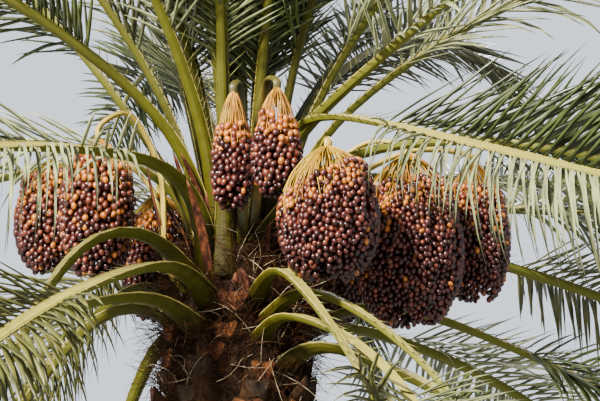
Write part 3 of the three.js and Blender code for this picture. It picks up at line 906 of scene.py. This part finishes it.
def buildRims(name, tierNames):
    bm = bmesh.new()
    for frond in frondsOf(tierNames):
        for side in (1, -1):
            stations = []
            for station in stemStations(frond)[1 : rim["before"]]:
                edge = station["across"] * side * rim["across"] * station["width"]
                middle = station["middle"] + (edge + station["up"] * rim["up"] * station["thickness"])
                width = rim["share"] * station["width"] + rim["least"]
                stations.append(stationAt(middle, station["across"], station["up"], width, width))
            sweepSection(bm, diamondSection, stations, pointed=True)
    addPiece(name, meshFrom(bm, name), "stemRim", frondNodes(tierNames))


tierGroups = {"upper": tuple(tier["name"] for tier in tiers if tier["name"] not in ownNodes)}
tierGroups.update({name: (name,) for name in ownNodes})
for groupName, tierNames in tierGroups.items():
    buildStems(groupName + "_stems", tierNames)
    buildRims(groupName + "_stem_rims", tierNames)

print("leaflets")
leaflet = {
    "perSide": 122,
    "to": 0.995,  # share of the frond's length
    "length": 540,
    "lengths": (0.84, 1.06),
    "shortest": 0.45,
    "sweep": (56, 30),  # degrees from the stem, at its first leaflets and at its last
    "sweepLoose": 6,
    "lifts": (34, -4, 14),  # of the three leaflets in a cluster
    "liftLoose": 7,
    "clusterStep": 4,
    "width": 0.0195,
    "widths": (0.85, 1.1),
    "slender": 15,  # lengths of a full blade in its widths
    "root": (0.38, 0.25),  # where on the stem's section it grows
    "clear": 0.02,  # metres kept from the solids, past its tip
    "stemUp": 0.6,  # how much its face leans to the stem's upper side from the sky
    "hungBelow": 0.1,  # how little a leaflet climbs that may hang limp
    "limpLoose": 0.5,
    "firm": 1.3,  # how much less limp one is that climbs
    "firmAt": (0.1, 0.5),
    "hang": (0.7, 1.3),
    "colours": ("leafGreen", "leafGrey", "leafOlive", "leafDeep"),
    "own": {-57: "leafGrey", 231: "leafGrey", -26: "leafGreen", 41: "leafGrey"},  # by a frond's heading
    "limp": {
        231: {"more": 1.2, "longer": 1.25, "wider": 0.7},
        -57: {"more": 0.5, "longer": 1.1, "wider": 0.9},
    },
    # painted shade: the leaflets that these fronds hold up show their shaded undersides, so they take the
    # darker colour
    "raised": {-57: "leafDeep", -26: "leafDeep"},  # colours of the leaflets that these fronds hold up
    "raisedFrom": 0.16,  # how steeply these climb
    "raisedLonger": 1.3,
    "kinds": ({"droop": 0.07, "turn": 10}, {"droop": 0.22, "turn": 45}, {"droop": 0.45, "turn": 70}),
    "section": [(-0.5, 0.42), (0, 0.06), (0.5, 0.42), (0, -0.10)],  # an edge, a groove, an edge and a keel
    "outline": ((0, 0.3), (0.1, 0.85), (0.38, 1), (0.72, 0.68), (1, 0)),
    "fold": 0.7,
}


# A blade one unit long, folded along its middle. It hangs down by its droop, as a share of its length,
# and turns by so many degrees about itself
def leafletTemplate(droop, turn):
    bm = bmesh.new()
    stations = []
    for y, width in leaflet["outline"]:
        turned = Matrix.Rotation(math.radians(turn) * y, 3, "Y")
        middle = Vector((0, y * (1 - 0.6 * droop * y), -droop * leaflet["slender"] * y * y))
        stations.append(stationAt(middle, turned @ alongX, turned @ alongZ, width, leaflet["fold"] * width))
    sweepSection(bm, leaflet["section"], stations, pointed=True)
    return meshFrom(bm, "leaflet_template")


# What a leaflet has to keep clear of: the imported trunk, fruit stalks and bunches
def solidTrees():
    trees = []
    for name in nodes:
        if name.startswith(("trunk", "bunch_stalk", "date_bunch")):
            bm = bmesh.new()
            bm.from_mesh(nodes[name].data)
            trees.append(BVHTree.FromBMesh(bm))
            bm.free()
    return trees


# A frond's leaflets, each with its colour, its kind and its placing
def placeLeaflets(frond, trees, colour):
    placings = []
    draw = random.Random(frond.seed + frond.heading)
    for k in range(leaflet["perSide"]):
        share = k / (leaflet["perSide"] - 1)
        for side in (1, -1):
            cluster = (k + (side > 0)) % 3
            s = frond.length * mix(frond.bare, leaflet["to"], share) + (cluster - 1) * leaflet["clusterStep"]
            station = frond.station(min(s, frond.length - 1))
            swell = mix(leaflet["shortest"], 1, math.sin(math.pi * (0.08 + 0.8 * share)) ** 0.7)
            length = leaflet["length"] * mm * swell * draw.uniform(*leaflet["lengths"])
            loose = leaflet["sweepLoose"]
            sweep = math.radians(mix(*leaflet["sweep"], share) + draw.uniform(-loose, loose))
            loose = leaflet["liftLoose"]
            lift = math.radians(leaflet["lifts"][cluster] + draw.uniform(-loose, loose))
            forward, across, up = station["along"], station["across"], station["up"]
            way = (
                forward * math.cos(sweep)
                + across * side * math.sin(sweep) * math.cos(lift)
                + up * math.sin(sweep) * math.sin(lift)
            )
            raised = frond.heading in leaflet["raised"] and way.z > leaflet["raisedFrom"]
            hung = leaflet["limp"].get(frond.heading) if way.z < leaflet["hungBelow"] else None
            length *= leaflet["raisedLonger"] if raised else hung["longer"] if hung else 1
            x, y = leaflet["root"]
            root = station["middle"] + across * side * x * station["width"] + up * y * station["thickness"]
            if any(tree.ray_cast(root, way, length + leaflet["clear"])[0] for tree in trees):
                continue
            sky = up * leaflet["stemUp"] + alongZ
            face = (sky - way * sky.dot(way)).normalized()
            width = leaflet["width"] * mix(0.75, 1, swell) * draw.uniform(*leaflet["widths"])
            limp = draw.gauss(frond.tier["age"], leaflet["limpLoose"])
            limp -= leaflet["firm"] * smooth(way.z, *leaflet["firmAt"])
            if hung:
                width *= hung["wider"]
                limp += hung["more"]
            kind = 0 if limp < 0.5 else 1 if limp < 1.5 else 2  # the nearest of the three
            hang = face * (length / leaflet["slender"]) * draw.uniform(*leaflet["hang"])
            # raised leaflets take the painted-shade colour
            shown = leaflet["raised"][frond.heading] if raised else colour
            placings.append((shown, kind, (way.cross(face) * width, way * length, hang, root)))
    return placings


def leafletColour(frond):
    tone = vary(frond.seed * 2.3 + frond.heading)
    greyTo = 0.2 if frond.tier["name"] in ownNodes else 0.55
    green, grey, olive, _ = leaflet["colours"]
    return leaflet["own"].get(frond.heading, green if tone < -0.25 else grey if tone < greyTo else olive)


def buildLeaflets():
    templates = [leafletTemplate(**kind) for kind in leaflet["kinds"]]
    trees = solidTrees()
    total = 0
    for groupName, tierNames in tierGroups.items():
        byColour = {colour: [[], [], []] for colour in leaflet["colours"]}
        for frond in frondsOf(tierNames):
            for shown, kind, placing in placeLeaflets(frond, trees, leafletColour(frond)):
                byColour[shown][kind].append(placing)
        for colour, kinds in byColour.items():
            for kind, placings in enumerate(kinds):
                if placings:
                    name = f"{groupName}_leaflets_{colour[4:].lower()}_{kind + 1}"
                    mesh = meshOfCopies(name, templates[kind], placings)
                    addPiece(name, mesh, colour, frondNodes(tierNames))
                    total += len(placings)
    print(total, "leaflets")


buildLeaflets()

spine = {
    "perSide": 11,
    "span": (0.42, 0.98),  # shares of the bare stem
    "length": (0.03, 0.12),
    "uneven": 0.4,
    "width": 0.0045,
    "turn": 40,
    "turnLoose": 16,
    "lift": 0.25,
    "root": (0.44, 0.3),
    "outline": ((0, 1), (0.4, 0.8), (1, 0)),
}


def buildSpines():
    bm = bmesh.new()
    stations = [stationAt(alongY * y, alongX, alongZ, width, width) for y, width in spine["outline"]]
    sweepSection(bm, diamondSection, stations, pointed=True)
    template = meshFrom(bm, "spine_template")
    placings = []
    for frond in fronds:
        for k in range(spine["perSide"]):
            for side in (1, -1):
                share = (k + 0.5 * (side > 0)) / spine["perSide"]
                station = frond.station(frond.length * (frond.bare * mix(*spine["span"], share)))
                across, up = station["across"], station["up"]
                length = mix(*spine["length"], share) * (1 + spine["uneven"] * vary(frond.seed + k * side))
                turn = math.radians(spine["turn"] + spine["turnLoose"] * vary(frond.seed + k + side))
                way = station["along"] * math.cos(turn) + across * side * math.sin(turn)
                way = (way + up * spine["lift"]).normalized()
                x, y = spine["root"]
                root = station["middle"] + across * side * x * station["width"]
                root += up * y * station["thickness"]
                face = (up - way * way.dot(up)).normalized()
                placings.append((way.cross(face) * spine["width"], way * length, face * spine["width"], root))
    mesh = meshOfCopies("stem_spines", template, placings)
    replaced = [name for name in nodes if "frond" in name]
    addPiece("stem_spines", mesh, "spineGreen", replaced)


buildSpines()

print("fruit stalks")
stalk = {
    "width": 52,
    "thickness": 26,
    "endWidth": 34,
    "inset": 60,
    "standOff": 62,
    "sides": 14,
    "ridge": 0.12,
    "tip": (0.08, 0.016, 0.012),  # how far it runs down into the bunch, and its width and thickness there
    "olive": (3, 4),
}


# The same curve through points as the source's, by centripetal spacing
def catmullRom(points, perSpan=24):
    knots = [points[0] * 2 - points[1]] + points + [points[-1] * 2 - points[-2]]
    curve = []
    for i in range(len(points) - 1):
        p0, p1, p2, p3 = knots[i : i + 4]
        d0, d1, d2 = ((b - a).length ** 0.5 for a, b in ((p0, p1), (p1, p2), (p2, p3)))
        t1 = ((p1 - p0) / d0 - (p2 - p0) / (d0 + d1) + (p2 - p1) / d1) * d1
        t2 = ((p2 - p1) / d1 - (p3 - p1) / (d1 + d2) + (p3 - p2) / d2) * d1
        for k in range(perSpan):
            t = k / perSpan
            square = p2 * 3 - p1 * 3 - t1 * 2 - t2
            cube = p1 * 2 - p2 * 2 + t1 + t2
            curve.append(p1 + t1 * t + square * t * t + cube * t * t * t)
    return curve + [points[-1]]


def stalkPath(bunch):
    surface = trunkRadius(bunch["foot"])
    near = surface + stalk["standOff"]
    lift = bunch["arch"] - bunch["top"]
    low = bunch["foot"] + 150

    def at(r, height, turned):
        way = headingWay(mix(bunch["root"], bunch["heading"], turned))
        point = trunkMiddle(trunk["height"]) + way * r
        point.z = height
        return point * mm

    return catmullRom([
        at(surface - stalk["inset"], bunch["foot"], 0),
        at(near, low, 0),
        at(mix(near, bunch["reach"], 0.16), mix(low, bunch["arch"], 0.66), 0.12),
        at(mix(near, bunch["reach"], 0.62), bunch["arch"], 0.6),
        at(bunch["reach"], bunch["top"] + 0.5 * lift, 1),
        at(bunch["reach"], bunch["top"] + 0.4, 1),
    ])


def buildStalks():
    circle = circleSection(stalk["sides"])
    section = [(x, y * (1 - stalk["ridge"] * (i % 2))) for i, (x, y) in enumerate(circle)]
    for number, bunch in enumerate(bunches, 1):
        path = stalkPath(bunch)
        across = levelSide(headingWay(bunch["heading"]))
        stations = []
        for i, point in enumerate(path[::4] + [path[-1]]):
            share = min(1, i / (len(path) // 4))
            ahead = path[min(len(path) - 1, i * 4 + 1)]
            behind = path[max(0, min(len(path) - 2, i * 4 - 1))]
            up = across.cross((ahead - behind).normalized())
            width = mix(stalk["width"], stalk["endWidth"], share) * mm
            stations.append(stationAt(point, across, up, width, stalk["thickness"] * mm))
        down, width, thickness = stalk["tip"]
        tip = dict(stations[-1], middle=path[-1] - Vector((0, 0, down)), width=width, thickness=thickness)
        bm = bmesh.new()
        sweepSection(bm, section, stations[:-1] + [tip])
        name = f"fruit_stalk_{number}"
        colour = "stalkOlive" if number in stalk["olive"] else "stalkYellow"
        addPiece(name, meshFrom(bm, name), colour, [f"bunch_stalk_{number}"])


buildStalks()

print("dates")
fruit = {
    "neckRadius": 30,
    "shoulder": 0.78,
    "width": 0.0262,
    "length": 0.0345,
    "sizes": (0.82, 1.1),
    "closest": 0.0204,
    "inset": 0.008,  # of the outer dates' middles under the bunch's outline
    "layers": (1.0, 0.86),
    "tries": 9,
    "highest": 0.03,  # share of the bunch's height above which no date hangs
    "columns": (21, 21, 6),  # how fine the hanging columns are, across and down
    "groove": 0.26,  # how deep the outline dips between them, as a share of the radius
    "ragged": 0.13,  # how much shorter some columns hang
    "swing": 0.35,
    "outward": 0.45,
    "top": 0.36,  # share of orange dates at a bunch's top
    "topTo": 0.22,
    "topTurning": 0.15,
    "plum": 0.42,  # share of the ripe dates with a plum tone
}
strand = {
    "radius": 0.0023,
    "sizes": (0.7, 1.1),
    "taper": (1.15, 0.7),
    "layers": (1.0, 0.8, 0.55),
    "gap": 0.026,
    "past": 0.12,  # how far it runs in under the first dates
    "steps": (0, 0.12, 0.26, 0.42, 0.6, 0.8, 1),
    "start": 10,  # points of the stalk's path that strands leave
}
# The dark body inside each bunch: painted shade that shows between the dates
core = {"top": 0.12, "foot": 0.86, "steps": 12, "sides": 20, "share": 0.70, "neck": 0.3, "neckSteps": 4}


def bunchRadius(bunch, down):
    if down <= bunch["bare"]:
        opened = (down / bunch["bare"]) ** bunch["spread"]
        return mix(fruit["neckRadius"], bunch["radius"] * fruit["shoulder"], opened) * mm
    low = (down - bunch["bare"]) / (1 - bunch["bare"])
    body = bunch["radius"] * mix(fruit["shoulder"], 1, math.sin(math.pi / 2 * min(1, low * 2.2)))
    return body * math.sqrt(max(0, 1 - max(0, (low - 0.45) / 0.6) ** 2.4)) * mm


def bunchPoint(bunch, turn, down, layer):
    middle = (trunkMiddle(trunk["height"]) + headingWay(bunch["heading"]) * bunch["reach"]) * mm
    side = Vector((math.cos(turn), math.sin(turn), 0))
    reach = layer * bunchRadius(bunch, down) - fruit["inset"] * min(1, 3 * down)
    return Vector((middle.x, middle.y, (bunch["top"] - down * bunch["height"]) * mm)) + side * reach, side


def firstDates(bunch, ripe, turn):
    late = 0.5 + 0.5 * math.cos(turn - math.radians(ripe["side"]))
    return bunch["bare"] + ripe["late"] * late ** 1.5


# Which of the four date materials suits a place in the bunch
def dateColour(ripe, spot, down, first, draw):
    high = 1 - smooth(down, first, first + fruit["topTo"])
    # painted shade: low in a bunch fewer dates are orange or turning, so its underside is darker
    low = smooth(down, 0.5, 0.9)
    patch = 0.5 + noise.noise(spot * 9 + Vector((7, 3, 1)))
    orange = ripe["orange"] * mix(0.4, 1.6, patch) * mix(1.2, 0.5, low) + ripe.get("top", fruit["top"]) * high
    turning = ripe["turning"] * mix(1.1, 0.7, low) + fruit["topTurning"] * high
    luck = draw.random()
    if luck < orange:
        return "dateOrange"
    if luck < orange + turning:
        return "dateTurning"
    return "datePlum" if draw.random() < fruit["plum"] else "dateRipe"


# Dates thrown at the bunch's outline in layers, each kept where it has room
def placeDates(bunch, ripe, draw):
    placings = {"dateRipe": [], "datePlum": [], "dateTurning": [], "dateOrange": []}
    taken = {}
    size = fruit["closest"] * ripe["size"]
    for layer in fruit["layers"]:
        area = math.tau * bunch["radius"] * bunch["height"] * mm * mm * layer
        for _ in range(int(fruit["tries"] * area / size ** 2)):
            turn = draw.uniform(0, math.tau)
            first = firstDates(bunch, ripe, turn)
            down = draw.uniform(first - 0.05, 1)
            fullness = bunchRadius(bunch, max(0, down)) / (bunch["radius"] * mm)
            if draw.random() > fullness or down <= fruit["highest"]:
                continue
            if draw.random() > smooth(down, first - 0.08, first + 0.10) ** 0.5:
                continue
            spot, side = bunchPoint(bunch, turn, down, layer)
            column = noise.noise(Vector([c * fine for c, fine in zip(spot, fruit["columns"])]))
            if down > 1 - fruit["ragged"] * smooth(-column, -0.1, 0.5):
                continue
            spot += side * min(0, fruit["groove"] * column) * bunchRadius(bunch, down)
            x, y, z = (int(math.floor(c / size)) for c in spot)
            around = (
                other
                for dx in (-1, 0, 1) for dy in (-1, 0, 1) for dz in (-1, 0, 1)
                for other in taken.get((x + dx, y + dy, z + dz), ())
            )
            if any((spot - other).length < size for other in around):
                continue
            taken.setdefault((x, y, z), []).append(spot)
            shape = ripe["size"] * draw.uniform(*fruit["sizes"])
            swing = fruit["swing"]
            axis = Vector((draw.gauss(0, swing), draw.gauss(0, swing), -0.9)) + side * fruit["outward"]
            axis.normalize()
            wide = axis.cross(levelSide(side)).normalized()
            placings[dateColour(ripe, spot, down, first, draw)].append((
                wide * fruit["width"] * shape,
                axis.cross(wide) * fruit["width"] * shape,
                axis * fruit["length"] * shape,
                spot,
            ))
    return placings


# Strands that leave the last stretch of the stalk, arch out and hang down to the first dates
def bunchStrands(bunch, ripe, draw):
    stretch = stalkPath(bunch)[-strand["start"] :]
    strands = []
    for layer in strand["layers"]:
        count = int(math.tau * bunch["radius"] * mm * layer / strand["gap"])
        for i in range(count):
            turn = math.tau * (i + 0.7 * draw.random()) / count
            start = stretch[draw.randrange(len(stretch))]
            end = firstDates(bunch, ripe, turn) + strand["past"]
            points = []
            for t in strand["steps"]:
                hung, _ = bunchPoint(bunch, turn + 0.1 * math.sin(4 * t + i), end * t, layer)
                points.append(hung.lerp(start, (1 - t) ** 4))
            thick = strand["radius"] * draw.uniform(*strand["sizes"])
            last = len(points) - 1
            strands.append((points, [thick * mix(*strand["taper"], k / last) for k in range(len(points))]))
    return strands


# A dark body of painted shade inside a bunch, which shows between its dates
def coreStations(bunch, ripe):
    top = max(core["top"], bunch["bare"] + 0.5 * ripe["late"])
    stations = []
    for k in range(core["steps"] + 1):
        down = mix(top, core["foot"], k / core["steps"])
        middle, _ = bunchPoint(bunch, 0, down, 0)
        middle.x += fruit["inset"]
        width = 2 * core["share"] * bunchRadius(bunch, down)
        width *= mix(core["neck"], 1, smooth(k, 0, core["neckSteps"]))
        stations.append(stationAt(middle, alongX, -alongY, width, width))
    return stations


def buildBunches():
    ball = bmesh.new()
    bmesh.ops.create_uvsphere(ball, u_segments=7, v_segments=5, radius=0.5)
    template = meshFrom(ball, "date_template")
    strands = {"strandOrange": [], "strandYellow": []}
    inside = bmesh.new()
    draw = random.Random(21)
    masses = [name for name in nodes if name.startswith("date_bunch")]
    for half, numbers in {"front": range(0, 7), "back": range(7, 9)}.items():
        colours = {}
        for number in numbers:
            bunch, ripe = bunches[number], ripeness[number]
            for colour, placings in placeDates(bunch, ripe, draw).items():
                colours.setdefault(colour, []).extend(placings)
            for thread in bunchStrands(bunch, ripe, draw):
                strands["strandYellow" if draw.random() < ripe["yellow"] else "strandOrange"].append(thread)
            sweepSection(inside, circleSection(core["sides"]), coreStations(bunch, ripe))
        for colour, placings in colours.items():
            name = f"dates_{half}_{colour[4:].lower()}"
            print(len(placings), name)
            addPiece(name, meshOfCopies(name, template, placings), colour, masses)
    addPiece("bunch_shade", meshFrom(inside, "bunch_shade"), "bunchShade", masses)
    for colour, threads in strands.items():
        name = "fruit_strands_" + colour[6:].lower()
        addPiece(name, meshOfThreads(name, threads), colour, masses)


buildBunches()

print("dried sheaths")
sheath = {
    "count": 15,
    "from": (3080, 3330),
    "length": (0.30, 0.52),
    "width": 0.05,
    "thickness": 0.006,
    "thin": (1.5, 0.6),
    "inset": 20,
    "steps": 9,
    "bare": (268, 22),  # no sheath within so many degrees of this heading, in front of the youngest stems
    "own": [
        {"heading": -86, "from": 2930, "length": 0.25, "width": 0.12, "slope": (72, 84)},
        {"heading": -122, "from": 3190, "length": 0.34, "width": 0.04, "slope": (84, 80)},
        {"heading": -70, "from": 3215, "length": 0.20, "width": 0.05, "slope": (80, 70)},
        {"heading": -136, "from": 3220, "length": 0.52, "width": 0.048, "slope": (75, 60)},
        {"heading": -163, "from": 3130, "length": 0.58, "width": 0.05, "slope": (60, 84)},
    ],
    "section": [
        (-0.3, 0.5), (0, 1), (0.3, 0.5), (0.5, -0.9), (0.3, -0.1), (0, 0.2), (-0.3, -0.1), (-0.5, -0.9),
    ],
}


def sheathEntries():
    for i in range(sheath["count"]):
        heading = i * 360 / sheath["count"] + 9 * vary(i + 0.5)
        if abs(heading - sheath["bare"][0]) >= sheath["bare"][1]:
            yield {
                "heading": heading,
                "from": mix(*sheath["from"], 0.5 + 0.5 * vary(i * 3.1)),
                "length": mix(*sheath["length"], 0.5 + 0.5 * vary(i * 5.3)),
                "width": sheath["width"],
                "slope": (78, 48 + 14 * vary(i * 7.7)),
            }
    yield from sheath["own"]


def buildSheaths():
    bm = bmesh.new()
    for entry in sheathEntries():
        out = headingWay(entry["heading"])
        across = levelSide(out)
        z = entry["from"]
        middle = (trunkMiddle(z) + out * (trunkRadius(z) - sheath["inset"])) * mm
        stations = []
        for k in range(sheath["steps"] + 1):
            share = k / sheath["steps"]
            along = climbingWay(out, math.radians(mix(*entry["slope"], share)))
            width = entry["width"] * math.sin(math.pi * (0.22 + 0.74 * share)) ** 0.8
            thickness = sheath["thickness"] * mix(*sheath["thin"], share)
            stations.append(stationAt(middle.copy(), across, across.cross(along), width, thickness))
            middle = middle + along * entry["length"] / sheath["steps"]
        sweepSection(bm, sheath["section"], stations, pointed=True)
    addPiece("dried_sheaths", meshFrom(bm, "dried_sheaths"), "driedSheath", ["trunk"])


buildSheaths()

print("stage and light")
stage = {"radius": 40, "sides": 64, "sky": (0.80, 0.87, 0.97), "skyStrength": 1.45}
lightsAim = (0, 0, 3.6)
lights = [
    {"name": "key", "place": (-6, -9, 11), "size": 2.2, "watts": 19000, "colour": (1, 0.95, 0.86)},
    {"name": "fill", "place": (9, -7, 4), "size": 7, "watts": 450, "colour": (0.90, 0.95, 1)},
    {"name": "rim", "place": (3, 9, 9), "size": 5, "watts": 2400, "colour": (1, 0.98, 0.94)},
]


def buildStage():
    bm = bmesh.new()
    bmesh.ops.create_circle(bm, cap_ends=True, segments=stage["sides"], radius=stage["radius"])
    floor = addObject("floor", meshFrom(bm, "floor", False))
    floor.data.materials.append(materials["floor"])
    world = bpy.data.worlds.new("sky")
    world.use_nodes = True
    background = world.node_tree.nodes["Background"]
    background.inputs["Color"].default_value = (*stage["sky"], 1)
    background.inputs["Strength"].default_value = stage["skyStrength"]
    bpy.context.scene.world = world


def addLight(light):
    data = bpy.data.lights.new(light["name"], "AREA")
    data.energy = light["watts"]
    data.size = light["size"]
    data.color = light["colour"]
    lamp = addObject(light["name"], data)
    lamp.location = light["place"]
    lamp.rotation_euler = (Vector(lightsAim) - lamp.location).to_track_quat("-Z", "Y").to_euler()


buildStage()
for light in lights:
    addLight(light)
